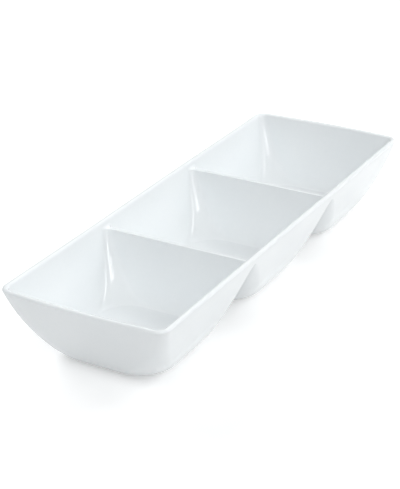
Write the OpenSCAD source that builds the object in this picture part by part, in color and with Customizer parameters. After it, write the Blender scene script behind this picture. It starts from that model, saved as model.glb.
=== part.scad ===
// Divided serving bowl: three square bowls in a row, made as one glazed tray.
// Each wall leans in a little on its way down, then curls under to a small flat
// base that stands on a bare foot ring. A rolled rim band ties the bowls together,
// and the dividers' rounded tops lie a little lower than the rim.
// Lengths are in millimetres. The origin is on the table, under the tray's centre;
// X runs along the tray from the front bowl to the rear bowl, and Z is up.

/* [Tray] */
// Width across the rim
tray_w = 125; // [110:0.5:180]
// Height from the table to the top of the rim
tray_h = 54.5; // [44:0.5:80]
// Length of one bowl, from the middle of one divider to the middle of the next
bowl_pitch = 119.5; // [105:0.5:180]
// How far the middle of each end rim stands out past its corners
end_bow = 3.2; // [0:0.1:8]

/* [Walls] */
// Thickness of the rim, and nearly that of the walls
wall_t = 3.65; // [2.5:0.05:5]
// Thickness of each bowl's floor
floor_t = 4.2; // [3:0.1:7]
// How far a wall leans in, as a share of how far it goes down
lean_share = 0.225; // [0.12:0.005:0.3]
// How far a wall curls in to the base, on top of its lean
curl_in = 13.3; // [9:0.1:20]
// Shape of the curl, where 2 is an ellipse and more is squarer
curl_power = 2.18; // [1.8:0.02:3]

/* [Corners] */
// Outer corner radius of the tray at the top of the rim
rim_corner_r = 7.8; // [6:0.1:16]
// Outer corner radius of each bowl where it meets its base
base_corner_r = 25.3; // [16:0.1:32]
// How late the corners widen on the way down, where 1 is evenly
corner_power = 1.68; // [0.8:0.02:2]
// Outer corner radius of neighbouring bowls just under the rim band
groove_corner_r = 2.6; // [1.5:0.1:5]
// How late the grooves between bowls widen on the way down, where 1 is evenly
groove_power = 0.54; // [0.5:0.02:1.5]

/* [Rim and dividers] */
// How far the rim's rounded edge stands out from the wall under it
bead_proud = 0.4; // [0:0.05:1.2]
// How far the tops of the dividers lie below the rim
crest_drop = 4.8; // [3:0.1:8]
// Width of a divider's rounded top
crest_w = 2.7; // [2:0.1:5]
// Height of a divider's rounded top
crest_h = 1.2; // [0.8:0.1:3]
// Radius with which a divider's top climbs to the rim at its ends
crest_root_r = 2; // [0.5:0.1:4]

/* [Feet] */
// Height of the foot ring under each bowl
foot_h = 1.4; // [0.8:0.1:4]
// Width of the face that a foot ring stands on
foot_w = 4; // [2.5:0.5:8]
// Distance from the edge of a bowl's flat base in to its foot ring
foot_inset = 5; // [2:0.5:9]

/* [Hidden] */

// Places in the row of bowls
front = -1;
middle = 0;
rear = 1;

// Colours of the glaze and of the bare foot
glaze = "#eef2f3";
bare_clay = "#e6dfd2";

// Steps in a corner, along one bowl's side, down a wall and round the rim
corner_steps = 8;
side_steps = 6;
wall_steps = 10;
round_steps = 4;
// Steps over a divider's top and along it
crest_steps = 12;
crest_length_steps = 6;
// Sides of a full circle in a foot ring's corners
foot_fn = 64;

// Handle length that makes a cubic curve follow a quarter circle, as a share of its radius
quarter_share = 0.5523;
// Handle length of the easy curve under the rim's edge, as a share of its height
ease_share = 0.4;
// Largest corner radius, as a share of the half size that it has to fit in
corner_limit_share = 0.95;
// Squareness of a divider's top where it stands free and where it joins the rim
crest_power = 2;
root_power = 4;

// Heights of the faces where the sub-parts meet
band_h = crest_drop + crest_h;
seam_z = tray_h - band_h;
floor_z = foot_h + floor_t;
shoulder_z = tray_h - wall_t / 2;
root_r = min(crest_root_r, shoulder_z - seam_z - crest_h);

// Depth and inward curl of the outer and inner wall lines
outer_depth = tray_h - foot_h;
inner_depth = tray_h - floor_z;
inner_curl = curl_in + bead_proud - wall_t + lean_share * (outer_depth - inner_depth);

// A wall line's point [inset from the rim's outermost edge, height] at a curl angle
function wall_point(angle, start, depth, curl) =
    let (down = pow(sin(angle), 2 / curl_power))
    [start + lean_share * depth * down + curl * (1 - pow(cos(angle), 2 / curl_power)),
     tray_h - depth * down];
function seam_angle(depth) = asin(pow(band_h / depth, curl_power / 2));
function outer_wall(angle) = wall_point(angle, bead_proud, outer_depth, curl_in);
function inner_wall(angle) = wall_point(angle, wall_t, inner_depth, inner_curl);

outer_start = seam_angle(outer_depth);
inner_start = seam_angle(inner_depth);
seam_outer_inset = outer_wall(outer_start)[0];
seam_inner_inset = inner_wall(inner_start)[0];
shoulder_inset = wall_t + lean_share * (tray_h - shoulder_z);
base_inset = outer_wall(90)[0];

// Corner radii at a height: the outer wall's, the cavity's and that beside a groove
function widened_r(z, depth) =
    rim_corner_r + (base_corner_r - rim_corner_r) * pow((tray_h - z) / depth, corner_power);
function outer_r(z) = widened_r(z, outer_depth);
function inner_r(z) = widened_r(z, inner_depth) - wall_t;
function groove_r(z) =
    groove_corner_r + (base_corner_r - groove_corner_r)
    * pow(max(0, seam_z - z) / (seam_z - foot_h), groove_power);

// Moves a point outward where the end rims are bowed: most at the rim's middle, none at the base
function bowed(p) =
    let (along = max(0, abs(p[0]) - bowl_pitch) / (bowl_pitch / 2),
         across = 1 - pow(p[1] / (tray_w / 2), 2),
         lift = (p[2] - foot_h) / outer_depth)
    [p[0] + sign(p[0]) * end_bow * across * pow(along, 2) * lift, p[1], p[2]];

// A corner's arc, from one angle on by a quarter turn
function arc(x, y, r, from) =
    [for (i = [0 : corner_steps]) let (a = from + 90 * i / corner_steps) [x + r * cos(a), y + r * sin(a)]];

// The points between the ends of two corners
function between(a, b, steps) = [for (i = [1 : steps - 1]) a + (b - a) * i / steps];

// A rounded rectangle, anticlockwise from its +X side, with a radius for each end
function outline(x0, x1, y, r0, r1, long_steps) =
    let (c1 = arc(x1 - r1, y - r1, r1, 0),
         c2 = arc(x0 + r0, y - r0, r0, 90),
         c3 = arc(x0 + r0, r0 - y, r0, 180),
         c4 = arc(x1 - r1, r1 - y, r1, 270),
         last = corner_steps)
    concat(c1, between(c1[last], c2[0], long_steps),
           c2, between(c2[last], c3[0], side_steps),
           c3, between(c3[last], c4[0], long_steps),
           c4, between(c4[last], c1[0], side_steps));

// How far a bowl's ring reaches from the bowl's centre towards one side
function reach(place, side, inset) =
    place == side ? bowl_pitch / 2 - inset
                  : bowl_pitch / 2 - crest_w / 2 + seam_inner_inset - inset;

// A ring of one bowl at a wall point, cut off at the middle of each divider
function bowl_ring(place, point, inside) =
    let (inset = point[0], z = point[1],
         x0 = -reach(place, -1, inset), x1 = reach(place, 1, inset), y = tray_w / 2 - inset,
         limit = corner_limit_share * min((x1 - x0) / 2, y),
         r0 = inside ? inner_r(z) : place == -1 ? outer_r(z) : groove_r(z),
         r1 = inside ? inner_r(z) : place == 1 ? outer_r(z) : groove_r(z),
         half = bowl_pitch / 2,
         flat = outline(x0, x1, y, min(r0, limit), min(r1, limit), side_steps))
    [for (p = flat) bowed([place * bowl_pitch + max(-half, min(half, p[0])), p[1], z])];

// Triangles that join rings of n points into a skin, each ring to the next
function skin(rings, n) =
    [for (i = [0 : rings - 2], j = [0 : n - 1])
        let (a = i * n + j, b = i * n + (j + 1) % n)
        each [[a, b, b + n], [a, b + n, a + n]]];

// One bowl: up the inside from its floor, across the seam and down the outside to its base
module bowl_shell(place) {
    inner = [for (i = [wall_steps : -1 : 0])
        bowl_ring(place, inner_wall(inner_start + (90 - inner_start) * i / wall_steps), true)];
    outer = [for (i = [0 : wall_steps])
        bowl_ring(place, outer_wall(outer_start + (90 - outer_start) * i / wall_steps), false)];
    rings = concat(inner, outer);
    n = len(rings[0]);
    points = concat([for (r = rings) each r],
                    [[place * bowl_pitch, 0, floor_z], [place * bowl_pitch, 0, foot_h]]);
    floor_mid = len(points) - 2;
    base_mid = len(points) - 1;
    base = (len(rings) - 1) * n;
    polyhedron(points, concat(
        skin(len(rings), n),
        [for (j = [0 : n - 1]) [floor_mid, (j + 1) % n, j]],
        [for (j = [0 : n - 1]) [base_mid, base + j, base + (j + 1) % n]]));
}

// A cubic curve from p0 to p3 that leaves towards p1 and arrives from p2
function cubic(p0, p1, p2, p3, t) =
    pow(1 - t, 3) * p0 + 3 * pow(1 - t, 2) * t * p1 + 3 * (1 - t) * pow(t, 2) * p2 + pow(t, 3) * p3;

// The rim's section as [inset, height, share of the inner corner radius], from its inner
// foot up over the rounded edge and down the easy curve to its outer foot
top = [wall_t / 2, tray_h, 1 / 2];
shoulder = [shoulder_inset, shoulder_z, 1];
edge = [0, shoulder_z, 0];
outer_foot = [seam_outer_inset, seam_z, 0];
edge_h = shoulder_z - seam_z;
bead_r = wall_t / 2;
rim_section = concat(
    [[seam_inner_inset, seam_z, 1]],
    [for (i = [0 : round_steps]) cubic(shoulder,
        shoulder + quarter_share * bead_r * [-lean_share, 1, 0],
        top + quarter_share * [shoulder_inset - bead_r, 0, 1 / 2], top, i / round_steps)],
    [for (i = [1 : round_steps]) cubic(top,
        top - quarter_share * [bead_r, 0, 1 / 2],
        edge + quarter_share * [0, bead_r, 0], edge, i / round_steps)],
    [for (i = [1 : round_steps]) cubic(edge,
        edge - ease_share * [0, edge_h, 0],
        outer_foot + ease_share * edge_h * [-lean_share, 1, 0], outer_foot, i / round_steps)]);

// The ring that one point of the section draws round the whole tray
function rim_ring(point) =
    let (x = 3 * bowl_pitch / 2 - point[0], z = point[1], s = point[2],
         r = s * inner_r(z) + (1 - s) * outer_r(z))
    [for (p = outline(-x, x, tray_w / 2 - point[0], r, r, 3 * side_steps)) bowed([p[0], p[1], z])];

// The rim band: its section carried round the tray, closed along the seam
module rim_band() {
    rings = [for (p = concat(rim_section, [rim_section[0]])) rim_ring(p)];
    n = len(rings[0]);
    count = len(rim_section) * n;
    points = [for (i = [0 : len(rim_section) - 1]) each rings[i]];
    polyhedron(points, [for (f = skin(len(rings), n)) [for (v = f) v % count]]);
}

// A section across a divider's top at one place along it: half a rounded hump
// The root runs from 0 where the divider is straight to 90 at the rim's inner face.
function crest_section(x, y, side, root) =
    let (r = inner_r(seam_z),
         half = crest_w / 2 + r * (1 - cos(root)),
         gap = r * (1 - sin(root)),
         climb = gap < root_r ? root_r - sqrt(pow(root_r, 2) - pow(root_r - gap, 2)) : 0,
         high = crest_h + climb,
         power = crest_power + (root_power - crest_power) * sin(root),
         face_lean = (seam_inner_inset - shoulder_inset) / edge_h)
    [for (i = [0 : crest_steps])
        let (a = 180 * i / crest_steps,
             up = high * pow(abs(sin(a)), 2 / power),
             out = half * sign(cos(a)) * pow(abs(cos(a)), 2 / power))
        [x + out, y + side * (r + face_lean * up) * sin(root), seam_z + up]];

// A divider's top: straight along its length, spreading into both walls at its ends
module crest(place) {
    x = place * bowl_pitch / 2;
    straight = tray_w / 2 - seam_inner_inset - inner_r(seam_z);
    sections = concat(
        [for (i = [corner_steps : -1 : 0]) crest_section(x, -straight, -1, 90 * i / corner_steps)],
        [for (i = [1 : crest_length_steps - 1])
            crest_section(x, straight * (2 * i / crest_length_steps - 1), 1, 0)],
        [for (i = [0 : corner_steps]) crest_section(x, straight, 1, 90 * i / corner_steps)]);
    n = crest_steps + 1;
    last = (len(sections) - 1) * n;
    polyhedron([for (s = sections) each s], concat(
        skin(len(sections), n),
        [[for (j = [n - 1 : -1 : 0]) j]],
        [[for (j = [0 : n - 1]) last + j]]));
}

// A flat rounded rectangle from x0 to x1
module rounded_plate(x0, x1, y, r) {
    translate([x0 + r, -y]) square([x1 - x0 - 2 * r, 2 * y]);
    translate([x0, r - y]) square([x1 - x0, 2 * (y - r)]);
    for (x = [x0 + r, x1 - r], side = [-1, 1]) translate([x, side * (y - r)]) circle(r, $fn = foot_fn);
}

// The foot ring under one bowl, following the bowl's base
module foot_ring(place) {
    inset = base_inset + foot_inset;
    x0 = place * bowl_pitch - reach(place, -1, inset);
    x1 = place * bowl_pitch + reach(place, 1, inset);
    y = tray_w / 2 - inset;
    r = min(base_corner_r - foot_inset, corner_limit_share * min((x1 - x0) / 2, y));
    linear_extrude(foot_h) difference() {
        rounded_plate(x0, x1, y, r);
        rounded_plate(x0 + foot_w, x1 - foot_w, y - foot_w, max(0, r - foot_w));
    }
}

module front_bowl() { color(glaze) bowl_shell(front); }
module middle_bowl() { color(glaze) bowl_shell(middle); }
module rear_bowl() { color(glaze) bowl_shell(rear); }
module front_crest() { color(glaze) crest(front); }
module rear_crest() { color(glaze) crest(rear); }
module rim() { color(glaze) rim_band(); }
module front_foot() { color(bare_clay) foot_ring(front); }
module middle_foot() { color(bare_clay) foot_ring(middle); }
module rear_foot() { color(bare_clay) foot_ring(rear); }

front_bowl();
middle_bowl();
rear_bowl();
front_crest();
rear_crest();
rim();
front_foot();
middle_foot();
rear_foot();
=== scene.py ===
"""A divided serving bowl: three square bowls in a row, made as one glazed porcelain tray.

Lengths are in metres and angles in radians. X runs along the tray from the front bowl to the
rear bowl, Z is up, and the table is at zero. A bowl's place is -1, 0 or 1, from front to rear.
A skin is a list of patches. Each patch is a grid of points with the direction that the surface
faces at each of them, worked out as whole arrays.
"""

import bpy
import numpy as np
from mathutils import Matrix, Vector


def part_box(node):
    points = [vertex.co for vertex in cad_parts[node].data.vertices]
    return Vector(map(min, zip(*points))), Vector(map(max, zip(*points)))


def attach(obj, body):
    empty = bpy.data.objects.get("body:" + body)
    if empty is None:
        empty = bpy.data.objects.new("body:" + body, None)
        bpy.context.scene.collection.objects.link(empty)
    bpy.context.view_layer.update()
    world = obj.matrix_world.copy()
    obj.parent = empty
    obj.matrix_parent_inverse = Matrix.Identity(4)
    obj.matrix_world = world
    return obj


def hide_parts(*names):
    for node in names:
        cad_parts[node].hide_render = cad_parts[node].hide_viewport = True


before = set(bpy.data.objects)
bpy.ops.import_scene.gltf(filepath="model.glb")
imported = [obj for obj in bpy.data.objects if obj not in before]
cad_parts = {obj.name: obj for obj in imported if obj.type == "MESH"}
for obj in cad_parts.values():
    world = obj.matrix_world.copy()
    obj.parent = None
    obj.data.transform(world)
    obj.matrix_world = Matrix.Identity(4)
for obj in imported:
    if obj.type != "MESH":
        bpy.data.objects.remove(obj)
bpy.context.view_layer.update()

MM = 0.001
QUARTER = np.pi / 2

# Sizes that the frame gives
rim_box = np.array(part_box("rim"))
middle_box = np.array(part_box("middle_bowl"))
FOOT = np.array(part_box("middle_foot"))[1, 2]
WIDTH = rim_box[1, 1] - rim_box[0, 1]
HEIGHT = rim_box[1, 2]
PITCH = middle_box[1, 0] - middle_box[0, 0]
SEAM = middle_box[1, 2]

# The walls: their thickness, and the line that they follow down to the base
WALL = 3.65 * MM
FLOOR = FOOT + 4.2 * MM
LEAN = 0.2765
CURL = 10.8 * MM
CURL_POWER = 2.31
END_BOW = 2.65 * MM

# Corner radii of the rim, of the bases and of the grooves between bowls
RIM_R = 8.3 * MM
BASE_R = 26.2 * MM
CORNER_POWER = 2.1
GROOVE_R = 2.65 * MM
GROOVE_POWER = 0.6
GROOVE_FADE = 1.5 * MM

# The rim's rounded edge: how far it stands out, where its round starts, and the share of a
# quarter circle's radius at which a cubic curve's handles stand
PROUD = -0.52 * MM
SHOULDER = HEIGHT - WALL / 2
QUARTER_SHARE = 0.5523

# The dividers' rounded tops: width, height, radius into the rim, and how square the hump is
CREST_W = 2.7 * MM
CREST_H = 1.0 * MM
ROOT_R = 2 * MM
CREST_POWER = 3.2
CREST_POWER_GAIN = 0.8

# The foot rings
FOOT_W = 4 * MM
FOOT_INSET = 5 * MM
FOOT_EDGE = 0.5 * MM
FOOT_FLARE = 0.6 * MM

# How far the kiln has drawn the walls out of true, over what lengths, how far the waves run
# askew, the angles at which they start, and how many times faster the rim dips
WAVE = 0.12 * MM
WAVE_LONG = 0.23
WAVE_SHORT = 0.11
SKEW_X = 0.4
SKEW_Y = 0.3
START_X = 0.7
START_Y = 1.9
START_Z = 0.5
DIP_TURNS = 1.3

# Steps in a corner, along a bowl's side, down a wall, over a flat, round an edge and over a
# divider's top, and points in the look-up of the outer wall's line
CORNER_STEPS = 24
SIDE_STEPS = 36
WALL_STEPS = 56
FLAT_STEPS = 8
ROUND_STEPS = 12
CREST_STEPS = 32
LOOK_UP_STEPS = 2000

# Small steps for slopes, in length and in angle, and the distance within which points are one
NUDGE = 0.05 * MM
ANGLE_NUDGE = 0.001
WELD = 0.0005 * MM

# Which stretch of an outline is the side at its -X end and at its +X end
END_SIDES = {1: 7, -1: 3}

# The glaze: noise cells per metre of its drift of colour, its mottle and its dimples, how much
# of the colour follows the mottle, and its two colours with the noise values that they stand at
GLAZE_DRIFT = 22
GLAZE_MOTTLE = 420
GLAZE_DIMPLES = 130
MOTTLE_SHARE = 0.35
GLAZE_COLOURS = ((0.35, (0.848, 0.879, 0.892, 1)), (0.65, (0.872, 0.899, 0.909, 1)))
GLAZE_ROUGHNESS = (0.05, 0.09)
DIMPLE_STRENGTH = 0.25
DIMPLE_DEPTH = 0.04 * MM
GLAZE_IOR = 1.5

# The bare clay: noise cells per metre of its colour and its grit, and its two colours
CLAY_DRIFT = 90
CLAY_GRIT = 2600
CLAY_COLOURS = ((0.3, (0.6, 0.55, 0.47, 1)), (0.62, (0.74, 0.7, 0.63, 1)))
CLAY_ROUGHNESS = 0.82
GRIT_STRENGTH = 0.6
GRIT_DEPTH = 0.08 * MM
CLAY_IOR = 1.45

# The view of the photograph: where the camera stands, how it is turned and its lens
VIEW_AZIMUTH = np.radians(-59.528)
VIEW_HEIGHT = np.radians(25.914)
VIEW_ROLL = np.radians(-1.181)
VIEW_DISTANCE = 1072.87 * MM
VIEW_RIGHT = -14.095 * MM
VIEW_UP = 18.934 * MM
VIEW_LIFT = 2.417 * MM
LENS = 107.94
CLIP_NEAR = 0.05
CLIP_FAR = 50

# Lamps: name, azimuth, height angle, tilt, distance, width, height, radiance and part
LAMPS = (
    ("back_light", -90, 40, 0, 2.6, 2.0, 1.8, 2.5, "tray"),
    ("right_light", -35, 30, 0, 2.6, 2.0, 1.8, 0.35, "tray"),
    ("near_right_light", -10, 30, 0, 2.6, 2.0, 1.8, 2.3, "tray"),
    ("front_light", 90, 50, 0, 2.6, 2.0, 1.8, 1.95, "tray"),
    ("back_right_table_light", -60, 25, 0, 2.6, 1.4, 1.2, 5.2, "table"),
    ("right_table_light", 0, 30, 0, 2.6, 1.4, 1.2, 2.2, "table"),
    ("front_table_light", 90, 60, 0, 2.6, 1.4, 1.2, 2.3, "table"),
    ("back_table_light", -160, 35, 0, 2.6, 1.4, 1.2, 6.0, "table"),
    ("table_glow", 0, -89, 0, 2.0, 2.0, 2.0, 0.44, "under"),
    ("right_strip", -12, 33.5, 0, 1.35, 0.17, 0.38, 3.4, "glint"),
    ("top_strip", -24, 42, -12, 1.35, 0.4, 0.14, 5.5, "glint"),
    ("left_strip", 25, 40.5, 0, 1.35, 0.3, 0.54, 6.0, "glint"),
    ("low_strip", 37, 28, 60, 1.35, 0.1, 0.34, 4.0, "glint"),
    ("rear_strip", 43, 43.5, 0, 1.35, 0.16, 0.34, 7.0, "glint"),
    ("back_strip", -122, 55, 0, 1.5, 1.6, 0.7, 1.6, "glint"),
)

# The room's light, and the table: its colour, the lift that it has where it is seen, how far
# it reaches, and between which distances it passes into a white backdrop
AMBIENT = 0.345
ROOM_TINT = (0.975, 0.998, 1.015, 1)
WHITE = (1, 1, 1, 1)
TABLE_TONE = 0.9
TABLE_LIFT = 0.305
TABLE_REACH = 12.0
BACKDROP_FROM = 0.8
BACKDROP_TO = 2.0

OUTER_DEPTH = HEIGHT - FOOT
INNER_DEPTH = HEIGHT - FLOOR
INNER_CURL = CURL + PROUD - WALL + LEAN * (OUTER_DEPTH - INNER_DEPTH)


def gradient(values, along):
    """Rate of change of each column down its rows."""
    return np.gradient(values, along, axis=0, edge_order=2)


def wall_line(angle, start, depth, curl):
    """Inset and height of a wall at a curl angle: the share of the depth gone down is
    sin(angle) ** (2 / power), the lean grows with it, and the curl adds
    1 - cos(angle) ** (2 / power)."""
    down = np.sin(angle) ** (2 / CURL_POWER)
    across = 1 - np.abs(np.cos(angle)) ** (2 / CURL_POWER)
    return start + LEAN * depth * down + curl * across, HEIGHT - depth * down


def outer_line(angle):
    """The wall line of the outside, which ends at the base."""
    return wall_line(angle, PROUD, OUTER_DEPTH, CURL)


def inner_line(angle):
    """The wall line of a cavity, which ends at its floor."""
    return wall_line(angle, WALL, INNER_DEPTH, INNER_CURL)


def angle_at(height, depth):
    """Curl angle at which a wall line has come down to a height."""
    return np.arcsin(((HEIGHT - height) / depth) ** (CURL_POWER / 2))


INNER_START = angle_at(SEAM, INNER_DEPTH)
OUTER_START = angle_at(SEAM, OUTER_DEPTH)
SEAM_INNER = inner_line(INNER_START)[0]
SEAM_OUTER = outer_line(OUTER_START)[0]


def widened(z, depth):
    """Corner radius that grows from the rim to the base with a power of the way down."""
    return RIM_R + (BASE_R - RIM_R) * ((HEIGHT - z) / depth) ** CORNER_POWER


def outer_r(z):
    """Corner radius of the outside at a height."""
    return widened(z, OUTER_DEPTH)


def inner_r(z):
    """Corner radius of a cavity at a height: the same law, less the wall."""
    return widened(z, INNER_DEPTH) - WALL


def groove_r(z):
    """Corner radius beside a groove. It starts at what closes the groove at the seam, and
    passes into the power law within a few millimetres."""
    down = np.maximum(0, SEAM - z)
    law = GROOVE_R + (BASE_R - GROOVE_R) * (down / (SEAM - FOOT)) ** GROOVE_POWER
    closed = SEAM_INNER - CREST_W / 2 - SEAM_OUTER
    return law - (GROOVE_R - closed) * np.exp(-down / GROOVE_FADE)


def settle(points):
    """Bows the end rims outward, most at the middle of the rim and not at all at the base, and
    adds the slow sine waves that firing leaves, which also fade to nothing at the base."""
    x, y, z = np.moveaxis(points, -1, 0)
    lift = (z - FOOT) / OUTER_DEPTH
    along = np.maximum(0, np.abs(x) - PITCH) / (PITCH / 2)
    bow = END_BOW * (1 - (y / (WIDTH / 2)) ** 2) * along**2 * lift
    rise = np.clip(lift, 0, 1)
    turn_x = 2 * np.pi * x / WAVE_LONG
    turn_y = 2 * np.pi * y / WAVE_SHORT
    dx = WAVE * rise * np.sin(turn_y + SKEW_X * turn_x + START_X)
    dy = WAVE * rise * np.sin(turn_x - SKEW_Y * turn_y + START_Y)
    dz = WAVE * rise**2 * (np.sin(DIP_TURNS * turn_x + START_Z) - 1) / 2
    return np.stack([x + np.sign(x) * bow + dx, y + dy, z + dz], axis=-1)


def turned(points, facing):
    """Turns the facing of a surface as settle() moves its points: a normal follows the cross
    products of the moved axes."""
    axes = []
    for k in range(3):
        nudge = np.zeros(3)
        nudge[k] = NUDGE
        axes.append((settle(points + nudge) - settle(points - nudge)) / (2 * NUDGE))
    a, b, c = axes
    moved = (
        np.cross(b, c) * facing[..., :1]
        + np.cross(c, a) * facing[..., 1:2]
        + np.cross(a, b) * facing[..., 2:]
    )
    return moved / np.linalg.norm(moved, axis=-1, keepdims=True)


def outline(x0, x1, y, r0, r1, along, stop0=0.0, stop1=0.0, long_steps=SIDE_STEPS):
    """Rounded rectangles, one per row, anticlockwise from the +X side: corner, side, corner and
    so on. A corner is centre + radius * (cos, sin). stop0 and stop1 are the angles by which the
    corners at the -X and +X end stop short of that end's side. Each stretch is returned as its
    points, their plan normals, and how fast the surface moves along the normal per unit of
    the parameter that runs down the rows."""
    rows = len(along)
    x0, x1, y, r0, r1, stop0, stop1 = (
        np.broadcast_to(v, rows) for v in (x0, x1, y, r0, r1, stop0, stop1)
    )
    quarter = np.full(rows, QUARTER)
    corners = [
        (x1 - r1, y - r1, r1, stop1, quarter),
        (x0 + r0, y - r0, r0, quarter, 2 * quarter - stop0),
        (x0 + r0, r0 - y, r0, 2 * quarter + stop0, 3 * quarter),
        (x1 - r1, r1 - y, r1, 3 * quarter, 4 * quarter - stop1),
    ]
    t = np.linspace(0, 1, CORNER_STEPS + 1)
    arcs = []
    for cx, cy, r, first, last in corners:
        angle = first[:, None] + (last - first)[:, None] * t
        normal = np.stack([np.cos(angle), np.sin(angle)], axis=-1)
        centre = np.stack([cx, cy], axis=-1)[:, None]
        points = centre + r[:, None, None] * normal
        drift = gradient(centre, along)
        slope = (drift * normal).sum(-1) + gradient(r, along)[:, None]
        arcs.append((points, normal, slope))
    stretches = []
    for k, steps in enumerate((long_steps, SIDE_STEPS, long_steps, SIDE_STEPS)):
        stretches.append(arcs[k])
        after = arcs[(k + 1) % 4]
        t = np.linspace(0, 1, steps + 1)[None, :, None]
        first = arcs[k][0][:, -1:]
        last = after[0][:, :1]
        points = first * (1 - t) + last * t
        points[:, -1:] = last
        side = (k + 1) * QUARTER
        normal = np.broadcast_to(np.array([np.cos(side), np.sin(side)]), points.shape)
        slope = np.broadcast_to(arcs[k][2][:, -1:], points.shape[:2])
        stretches.append((points, normal, slope))
    return stretches


def lofted(stretches, z, along, sign=1):
    """Patches of a surface whose rows are outlines at heights z. The surface faces along
    (-dz * plan normal, slope), or the other way where sign is -1."""
    fall = -gradient(z, along)
    patches = []
    for points, normal, slope in stretches:
        height = np.broadcast_to(z[:, None, None], points.shape[:2] + (1,))
        facing = np.concatenate([normal * fall[:, None, None], slope[..., None]], axis=-1)
        patches.append((np.concatenate([points, height], axis=-1), sign * facing))
    return patches


def disc(patches, centre, facing):
    """Closes the last row of a loop of patches with a flat face that runs to a point."""
    t = np.linspace(1, 0, FLAT_STEPS + 1)[:, None, None]
    made = []
    for points, _ in patches:
        grid = centre + (points[-1] - centre) * t
        grid[0] = points[-1]
        made.append((grid, np.broadcast_to(np.array(facing, float), grid.shape)))
    return made


def strips(first, first_row, last, last_row, facing):
    """Flat strips between a row of one loop of patches and a row of another."""
    made = []
    for (a, _), (b, _) in zip(first, last):
        grid = np.stack([a[first_row], b[last_row]])
        made.append((grid, np.broadcast_to(np.array(facing, float), grid.shape)))
    return made


def bowl_reach(place, side, inset):
    """How far a bowl's outline reaches from the bowl's centre towards one side."""
    if place == side:
        return PITCH / 2 - inset
    return PITCH / 2 - CREST_W / 2 + SEAM_INNER - inset


def outer_line_table():
    """Insets and angles of the outer wall line, for looking an angle up."""
    v = np.linspace(OUTER_START, QUARTER, LOOK_UP_STEPS)
    return outer_line(v)[0], v


def bowl_patches(place):
    """One bowl: its cavity and floor, the seam, its outer wall and its base. Beside a divider
    the outer wall is cut off at the divider's middle, where neighbours meet."""
    centre_x = place * PITCH
    half = PITCH / 2

    u = np.linspace(INNER_START, QUARTER, WALL_STEPS + 1)
    inset, z = inner_line(u)
    x0 = centre_x - bowl_reach(place, -1, inset)
    x1 = centre_x + bowl_reach(place, 1, inset)
    radius = inner_r(z)
    cavity = lofted(outline(x0, x1, WIDTH / 2 - inset, radius, radius, u), z, u, -1)
    for _, facing in cavity:
        facing[-1] = (0, 0, 1)
    floor = disc(cavity, np.array([centre_x, 0, FLOOR]), (0, 0, 1))

    apart = np.interp(SEAM_INNER - CREST_W / 2, *outer_line_table())
    upper = np.linspace(OUTER_START, apart, WALL_STEPS // 4 + 1)
    lower = np.linspace(apart, QUARTER, WALL_STEPS + 1)
    loops = []
    for v, joined in ((upper, True), (lower, False)):
        inset, z = outer_line(v)
        ends = []
        for side in (-1, 1):
            reach = bowl_reach(place, side, inset)
            if place == side:
                ends.append((reach, outer_r(z), 0.0))
            elif joined:
                r = groove_r(z)
                stop = np.arccos(np.clip((half - (reach - r)) / r, -1, 1))
                ends.append((reach, r, stop))
            else:
                ends.append((reach, groove_r(z), 0.0))
        (left, r0, stop0), (right, r1, stop1) = ends
        rows = outline(
            centre_x - left, centre_x + right, WIDTH / 2 - inset, r0, r1, v, stop0, stop1
        )
        loops.append(lofted(rows, z, v))
    high, low = loops
    for side, stretch in END_SIDES.items():
        if place != side:
            points, facing = high[stretch]
            high[stretch] = (points, np.broadcast_to(np.array([side, 0.0, 0.0]), facing.shape))
    for _, facing in low:
        facing[-1] = (0, 0, -1)
    base = disc(low, np.array([centre_x, 0, FOOT]), (0, 0, -1))
    seam = strips(high, 0, cavity, 0, (0, 0, 1))
    return cavity + floor + seam + high + low + base


def cubic(p0, p1, p2, p3):
    """A cubic curve from p0 to p3 that leaves towards p1 and arrives from p2."""
    t = np.linspace(0, 1, ROUND_STEPS + 1)[:, None]
    p0, p1, p2, p3 = (np.array(p, float) for p in (p0, p1, p2, p3))
    return (1 - t) ** 3 * p0 + 3 * (1 - t) ** 2 * t * p1 + 3 * (1 - t) * t**2 * p2 + t**3 * p3


def line_slope(line, angle):
    """Change of a wall line's inset per unit of height, between two nearby angles."""
    (i0, z0), (i1, z1) = line(angle - ANGLE_NUDGE), line(angle + ANGLE_NUDGE)
    return (i1 - i0) / (z1 - z0)


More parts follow.
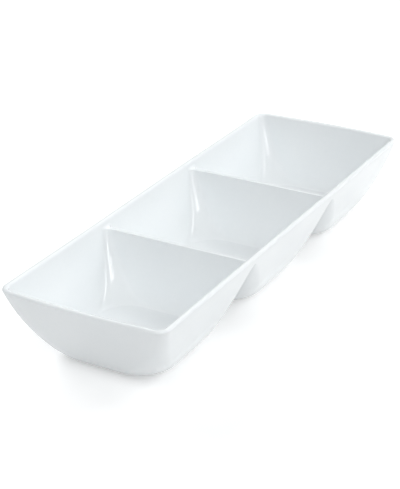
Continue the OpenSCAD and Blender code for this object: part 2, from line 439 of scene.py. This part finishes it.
def rim_patches():
    """The rim band: its section carried round the tray. The section climbs the inner wall's
    own line, turns over the top in two quarter curves, and goes down the outer wall's. Each
    of its points is an inset, a height, and the share by which it belongs to the cavity."""
    shoulder_angle = angle_at(SHOULDER, INNER_DEPTH)
    climb = np.linspace(INNER_START, shoulder_angle, ROUND_STEPS + 1)
    inset, z = inner_line(climb)
    inner = np.stack([inset, z, np.ones_like(z)], axis=-1)
    radius = WALL / 2
    shoulder = inner[-1]
    top = np.array([radius, HEIGHT, 0.5])
    edge_angle = angle_at(SHOULDER, OUTER_DEPTH)
    drop = np.linspace(edge_angle, OUTER_START, ROUND_STEPS + 1)
    inset, z = outer_line(drop)
    outer = np.stack([inset, z, np.zeros_like(z)], axis=-1)
    edge = outer[0]
    inner_lean = line_slope(inner_line, shoulder_angle)
    outer_lean = line_slope(outer_line, edge_angle)
    sections = [
        inner,
        cubic(
            shoulder,
            shoulder + QUARTER_SHARE * radius * np.array([inner_lean, 1, 0]),
            top + QUARTER_SHARE * np.array([shoulder[0] - radius, 0, 0.5]),
            top,
        ),
        cubic(
            top,
            top - QUARTER_SHARE * np.array([radius, 0, 0.5]),
            edge + QUARTER_SHARE * radius * np.array([outer_lean, 1, 0]),
            edge,
        ),
        outer,
    ]
    loops = []
    for section in sections:
        s = np.linspace(0, 1, len(section))
        inset, z, share = section.T
        x = 1.5 * PITCH - inset
        radius = share * inner_r(z) + (1 - share) * outer_r(z)
        rows = outline(-x, x, WIDTH / 2 - inset, radius, radius, s, long_steps=3 * SIDE_STEPS)
        loops.append(lofted(rows, z, s))
    under = strips(loops[-1], -1, loops[0], 0, (0, 0, -1))
    return [patch for loop in loops for patch in loop] + under


def crest_patches(place):
    """A divider's top, at place -1 or 1. Its section is a superellipse hump in polar form, half
    wide and high tall, whose feet lean as the walls do. Towards each end the section moves
    along the cavities' corner arcs, widens with them, climbs on its own arc and squares up,
    until it lies in the rim's inner face."""
    centre_x = place * PITCH / 2
    r = inner_r(SEAM)
    straight = WIDTH / 2 - SEAM_INNER - r
    lean = -line_slope(inner_line, INNER_START)
    turn = np.linspace(0, np.pi, CREST_STEPS + 1)

    def section(y, side, root):
        """Rows of points across the hump, one row for each y and root angle. The root angle
        goes from zero at the start of the corner arc to a quarter turn in the rim's face. A
        point's distance from the middle is 1 / (|cos| ** power + sin ** power) ** (1 / power)
        of the half width and the height."""
        gap = r * (1 - np.sin(root))
        inside = np.clip(ROOT_R - gap, 0, None)
        climb = ROOT_R - np.sqrt(np.maximum(0, ROOT_R**2 - inside**2))
        half = (CREST_W / 2 + r * (1 - np.cos(root)))[:, None]
        high = (CREST_H + climb)[:, None]
        power = (CREST_POWER + CREST_POWER_GAIN * np.sin(root))[:, None]
        c, s = np.cos(turn), np.abs(np.sin(turn))
        size = (np.abs(c) ** power + s**power) ** (1 / power)
        up = high * s / size
        out = half * c / size
        out -= np.sign(c) * lean * up * (1 - up / high) ** 2 * np.cos(root)[:, None]
        wall = SEAM_INNER - inner_line(angle_at(SEAM + up, INNER_DEPTH))[0]
        reach = (y + side * r * np.sin(root))[:, None]
        across = reach + side * wall * np.sin(root)[:, None]
        return np.stack([centre_x + out, across, SEAM + up], axis=-1)

    roots = np.linspace(QUARTER, 0, CORNER_STEPS + 1)
    lengths = np.linspace(-straight, straight, SIDE_STEPS + 1)
    level = np.zeros_like(lengths)
    grids = [
        section(np.full_like(roots, -straight), -1, roots),
        section(lengths, 1, level),
        section(np.full_like(roots, straight), 1, roots[::-1]),
    ]
    grids[0][-1] = grids[1][0]
    grids[2][0] = grids[1][-1]
    made = []
    for grid in grids:
        along = np.gradient(grid, axis=0, edge_order=2)
        over = np.gradient(grid, turn, axis=1, edge_order=2)
        made.append((grid, np.cross(along, over)))
    flats = []
    for grid in grids:
        under = grid.copy()
        under[..., 1] = grid[:, :1, 1]
        under[..., 2] = SEAM
        flats.append(under)
        made.append((under, np.broadcast_to(np.array([0.0, 0.0, -1.0]), under.shape)))
    for end, side in ((0, -1), (-1, 1)):
        cap = np.stack([grids[end][end], flats[end][end]])
        made.append((cap, np.broadcast_to(np.array([0.0, side, 0.0]), cap.shape)))
    return made


def foot_patches(place):
    """A foot ring: its section carried round at a steady offset from the base. The section
    flares into the base, and its standing face has softened edges. Each of its points is an
    inset from the ring's outside and a height."""
    inset = outer_line(QUARTER)[0] + FOOT_INSET
    t = np.linspace(0, QUARTER, ROUND_STEPS + 1)
    flare = np.stack([-FOOT_FLARE * (1 - np.sin(t)), FOOT - FOOT_FLARE * (1 - np.cos(t))], -1)
    edge = np.stack([FOOT_EDGE * (1 - np.cos(t)), FOOT_EDGE * (1 - np.sin(t))], -1)
    outer = [flare, np.array([flare[-1], edge[0]]), edge]
    inner = [np.stack([FOOT_W - s[::-1, 0], s[::-1, 1]], axis=-1) for s in outer[::-1]]
    flat = np.array([outer[-1][-1], inner[0][0]])
    x0 = place * PITCH - bowl_reach(place, -1, inset)
    x1 = place * PITCH + bowl_reach(place, 1, inset)
    y = WIDTH / 2 - inset
    loops = []
    for section in outer + [flat] + inner:
        if len(section) == 2:
            section = np.stack([section[0], section.mean(0), section[1]])
        s = np.linspace(0, 1, len(section))
        e, z = section.T
        r = BASE_R - FOOT_INSET - e
        loops.append(lofted(outline(x0 + e, x1 - e, y - e, r, r, s), z, s))
    top = strips(loops[-1], -1, loops[0], 0, (0, 0, 1))
    return [patch for loop in loops for patch in loop] + top


def made_piece(name, patches, material):
    """Joins patches into one closed mesh: points at the same place become one, squashed
    corners are dropped, and each face corner keeps its own patch's facing."""
    settled, facings, corners, start = [], [], [], 0
    for points, facing in patches:
        rows, columns = points.shape[:2]
        index = start + np.arange(rows * columns).reshape(rows, columns)
        quads = np.stack(
            [index[:-1, :-1], index[:-1, 1:], index[1:, 1:], index[1:, :-1]], axis=-1
        ).reshape(-1, 4)
        moved = settle(points).reshape(-1, 3)
        normal = turned(points, facing).reshape(-1, 3)
        a, b, c, d = (moved[quads[:, k] - start] for k in range(4))
        area = np.cross(c - a, d - b)
        if (area * normal[quads[:, 0] - start]).sum() < 0:
            quads = quads[:, ::-1]
        settled.append(moved)
        facings.append(normal)
        corners.append(quads)
        start += rows * columns
    moved = np.concatenate(settled)
    normal = np.concatenate(facings)
    quads = np.concatenate(corners)
    key = np.round(moved / WELD).astype(np.int64)
    _, first, same = np.unique(key, axis=0, return_index=True, return_inverse=True)
    same = same.reshape(-1)
    vertex = same[quads]
    kept = vertex != np.roll(vertex, -1, axis=1)
    whole = kept.sum(axis=1) >= 3
    vertex, quads, kept = vertex[whole], quads[whole], kept[whole]
    counts = kept.sum(axis=1)

    mesh = bpy.data.meshes.new(name)
    mesh.vertices.add(len(first))
    mesh.vertices.foreach_set("co", moved[first].ravel())
    mesh.loops.add(int(counts.sum()))
    mesh.loops.foreach_set("vertex_index", vertex[kept].astype(np.int32))
    mesh.polygons.add(len(counts))
    starts = np.concatenate([[0], np.cumsum(counts)[:-1]])
    mesh.polygons.foreach_set("loop_start", starts.astype(np.int32))
    mesh.polygons.foreach_set("use_smooth", np.ones(len(counts), bool))
    mesh.update(calc_edges=True)
    mesh.normals_split_custom_set(normal[quads[kept]].tolist())
    mesh.materials.append(material)
    piece = bpy.data.objects.new(name, mesh)
    bpy.context.scene.collection.objects.link(piece)
    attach(piece, "root")
    return piece


def node_maker(owner):
    """Clears the shader nodes of a material or a world, and returns a short way to add a node
    and join it to others."""
    owner.use_nodes = True
    tree = owner.node_tree
    tree.nodes.clear()

    def add(kind, inputs=(), **settings):
        made = tree.nodes.new(kind)
        for key, value in settings.items():
            setattr(made, key, value)
        for key, value in dict(inputs).items():
            if isinstance(value, bpy.types.NodeSocket):
                tree.links.new(value, made.inputs[key])
            else:
                made.inputs[key].default_value = value
        return made

    return add


def colour_ramp(add, factor, colours):
    """A colour that passes from the first to the second of two as a noise rises."""
    made = add("ShaderNodeValToRGB", {"Fac": factor})
    for element, (position, colour) in zip(made.color_ramp.elements, colours):
        element.position = position
        element.color = colour
    return made.outputs["Color"]


def glaze_material():
    """White glaze: a clean gloss over a body whose colour drifts a little from place to place,
    with the faint dimples of a fired glaze."""
    material = bpy.data.materials.new("white_glaze")
    add = node_maker(material)
    coords = add("ShaderNodeTexCoord").outputs["Object"]
    drift = add("ShaderNodeTexNoise", {"Vector": coords, "Scale": GLAZE_DRIFT, "Detail": 2})
    mottle = add("ShaderNodeTexNoise", {"Vector": coords, "Scale": GLAZE_MOTTLE, "Detail": 3})
    tone = add(
        "ShaderNodeMix",
        {"Factor": MOTTLE_SHARE, 2: drift.outputs["Fac"], 3: mottle.outputs["Fac"]},
        data_type="FLOAT",
    )
    colour = colour_ramp(add, tone.outputs[0], GLAZE_COLOURS)
    least, most = GLAZE_ROUGHNESS
    sheen = add(
        "ShaderNodeMapRange",
        {"Value": drift.outputs["Fac"], "To Min": least, "To Max": most},
    )
    dimples = add("ShaderNodeTexNoise", {"Vector": coords, "Scale": GLAZE_DIMPLES, "Detail": 1})
    bump = add(
        "ShaderNodeBump",
        {"Height": dimples.outputs["Fac"], "Strength": DIMPLE_STRENGTH, "Distance": DIMPLE_DEPTH},
    )
    shader = add(
        "ShaderNodeBsdfPrincipled",
        {
            "Base Color": colour,
            "Roughness": sheen.outputs["Result"],
            "IOR": GLAZE_IOR,
            "Normal": bump.outputs["Normal"],
        },
    )
    add("ShaderNodeOutputMaterial", {"Surface": shader.outputs["BSDF"]})
    return material


def bare_material():
    """Bare fired clay: warm off-white, matt and finely gritty, with a few darker grains."""
    material = bpy.data.materials.new("bare_clay")
    add = node_maker(material)
    coords = add("ShaderNodeTexCoord").outputs["Object"]
    drift = add("ShaderNodeTexNoise", {"Vector": coords, "Scale": CLAY_DRIFT, "Detail": 4})
    grit = add("ShaderNodeTexNoise", {"Vector": coords, "Scale": CLAY_GRIT, "Detail": 2})
    colour = colour_ramp(add, drift.outputs["Fac"], CLAY_COLOURS)
    bump = add(
        "ShaderNodeBump",
        {"Height": grit.outputs["Fac"], "Strength": GRIT_STRENGTH, "Distance": GRIT_DEPTH},
    )
    shader = add(
        "ShaderNodeBsdfPrincipled",
        {
            "Base Color": colour,
            "Roughness": CLAY_ROUGHNESS,
            "IOR": CLAY_IOR,
            "Normal": bump.outputs["Normal"],
        },
    )
    add("ShaderNodeOutputMaterial", {"Surface": shader.outputs["BSDF"]})
    return material


def stand(name, data, right, up, back, at):
    """Adds a camera or lamp that stands at a point and looks along -back. The columns of its
    matrix are its right, up and back directions and the point."""
    made = bpy.data.objects.new(name, data)
    turn = np.eye(4)
    turn[:3, 0] = right
    turn[:3, 1] = up
    turn[:3, 2] = back
    turn[:3, 3] = at
    made.matrix_world = Matrix(turn.tolist())
    bpy.context.scene.collection.objects.link(made)
    return made


def photo_camera():
    """The camera looks along -back from aim + back * distance, rolled about that line."""
    a, e, roll = VIEW_AZIMUTH, VIEW_HEIGHT, VIEW_ROLL
    back = np.array([np.sin(a) * np.cos(e), -np.cos(a) * np.cos(e), np.sin(e)])
    right = np.array([np.cos(a), np.sin(a), 0])
    up = np.cross(back, right)
    at = VIEW_RIGHT * right + VIEW_UP * up + VIEW_DISTANCE * back
    at = at + np.array([0, 0, VIEW_LIFT])
    turned_right = np.cos(roll) * right + np.sin(roll) * up
    turned_up = -np.sin(roll) * right + np.cos(roll) * up
    data = bpy.data.cameras.new("photo_view")
    data.lens = LENS
    data.clip_start = CLIP_NEAR
    data.clip_end = CLIP_FAR
    bpy.context.scene.camera = stand("photo_view", data, turned_right, turned_up, back, at)


def seen_ray(add):
    """One for a camera, glossy or transmission ray, and zero for any other."""
    path = add("ShaderNodeLightPath")
    either = add(
        "ShaderNodeMath",
        {0: path.outputs["Is Camera Ray"], 1: path.outputs["Is Glossy Ray"]},
        operation="MAXIMUM",
    )
    seen = add(
        "ShaderNodeMath",
        {0: either.outputs[0], 1: path.outputs["Is Transmission Ray"]},
        operation="MAXIMUM",
    )
    return seen.outputs[0]


def room():
    """Surroundings that look plain white and give a soft, slightly cool light."""
    world = bpy.data.worlds.new("studio")
    bpy.context.scene.world = world
    add = node_maker(world)
    dim = add("ShaderNodeBackground", {"Color": ROOM_TINT, "Strength": AMBIENT})
    white = add("ShaderNodeBackground", {"Color": WHITE, "Strength": 1})
    mix = add("ShaderNodeMixShader", {0: seen_ray(add), 1: dim.outputs[0], 2: white.outputs[0]})
    add("ShaderNodeOutputWorld", {"Surface": mix.outputs[0]})


def table_material():
    """A matt white table with a steady lift where it is seen, which keeps the shadows on it.
    With its distance from the tray it passes into a white backdrop."""
    material = bpy.data.materials.new("white_table")
    add = node_maker(material)
    matt = add("ShaderNodeBsdfDiffuse", {"Color": (TABLE_TONE, TABLE_TONE, TABLE_TONE, 1)})
    seen = seen_ray(add)
    lifted = add("ShaderNodeMath", {0: seen, 1: TABLE_LIFT}, operation="MULTIPLY")
    glow = add("ShaderNodeEmission", {"Strength": lifted.outputs[0]})
    both = add("ShaderNodeAddShader", {0: matt.outputs[0], 1: glow.outputs[0]})
    coords = add("ShaderNodeTexCoord").outputs["Object"]
    away = add("ShaderNodeVectorMath", {0: coords}, operation="LENGTH").outputs["Value"]
    fade = add(
        "ShaderNodeMapRange",
        {"Value": away, "From Min": BACKDROP_FROM, "From Max": BACKDROP_TO},
    )
    far = add("ShaderNodeMath", {0: fade.outputs["Result"], 1: seen}, operation="MULTIPLY")
    backdrop = add("ShaderNodeEmission", {"Strength": 1.0})
    whole = add(
        "ShaderNodeMixShader", {0: far.outputs[0], 1: both.outputs[0], 2: backdrop.outputs[0]}
    )
    add("ShaderNodeOutputMaterial", {"Surface": whole.outputs[0]})
    return material


def lamp(groups, name, azimuth, height, tilt, distance, wide, tall, radiance, part):
    """A soft lamp that stands at an azimuth from -Y towards -X and a height angle, faces the
    tray, leans to its own right by a tilt, and shines with an even radiance: power =
    radiance * pi * area. Its part says what it is for: a "glint" is seen only as a reflection
    in the glaze, a "tray" lamp leaves the table out, a "table" lamp lights the table alone,
    and an "under" lamp shines up through the table, as a wide white table would."""
    a, e = np.radians(azimuth), np.radians(height)
    back = np.array([-np.sin(a) * np.cos(e), -np.cos(a) * np.cos(e), np.sin(e)])
    right = np.cross([0, 0, 1], back)
    right = right / np.linalg.norm(right)
    up = np.cross(back, right)
    lean = np.radians(tilt)
    right, up = (
        np.cos(lean) * right - np.sin(lean) * up,
        np.sin(lean) * right + np.cos(lean) * up,
    )
    data = bpy.data.lights.new(name, "AREA")
    data.shape = "RECTANGLE"
    data.size = wide
    data.size_y = tall
    data.energy = radiance * np.pi * wide * tall
    made = stand(name, data, right, up, back, back * distance)
    made.visible_glossy = part == "glint"
    made.visible_diffuse = part != "glint"
    table_only, all_but_table = groups
    if part in ("tray", "under"):
        made.light_linking.receiver_collection = all_but_table
    if part == "under":
        made.light_linking.blocker_collection = all_but_table
    if part == "table":
        made.light_linking.receiver_collection = table_only


def studio():
    """A white table in a white room, and the lamps, some of which light only the table or
    only what stands on it."""
    room()
    mesh = bpy.data.meshes.new("table")
    far = TABLE_REACH
    corners = [(-far, -far, 0), (far, -far, 0), (far, far, 0), (-far, far, 0)]
    mesh.from_pydata(corners, [], [(0, 1, 2, 3)])
    mesh.materials.append(table_material())
    table = bpy.data.objects.new("table", mesh)
    bpy.context.scene.collection.objects.link(table)
    table_only = bpy.data.collections.new("table_only")
    table_only.objects.link(table)
    all_but_table = bpy.data.collections.new("all_but_table")
    all_but_table.objects.link(table)
    all_but_table.collection_objects[0].light_linking.link_state = "EXCLUDE"
    for row in LAMPS:
        lamp((table_only, all_but_table), *row)


bpy.context.scene.view_settings.view_transform = "Standard"
photo_camera()
studio()

glaze = glaze_material()
bare = bare_material()
for label, place in (("front", -1), ("middle", 0), ("rear", 1)):
    bowl = made_piece(f"{label}_bowl_glazed", bowl_patches(place), glaze)
    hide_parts(f"{label}_bowl")
    foot = made_piece(f"{label}_foot_ring", foot_patches(place), bare)
    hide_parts(f"{label}_foot")
for label, place in (("front", -1), ("rear", 1)):
    crest = made_piece(f"{label}_divider_top", crest_patches(place), glaze)
    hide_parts(f"{label}_crest")
rim = made_piece("rim_band", rim_patches(), glaze)
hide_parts("rim")
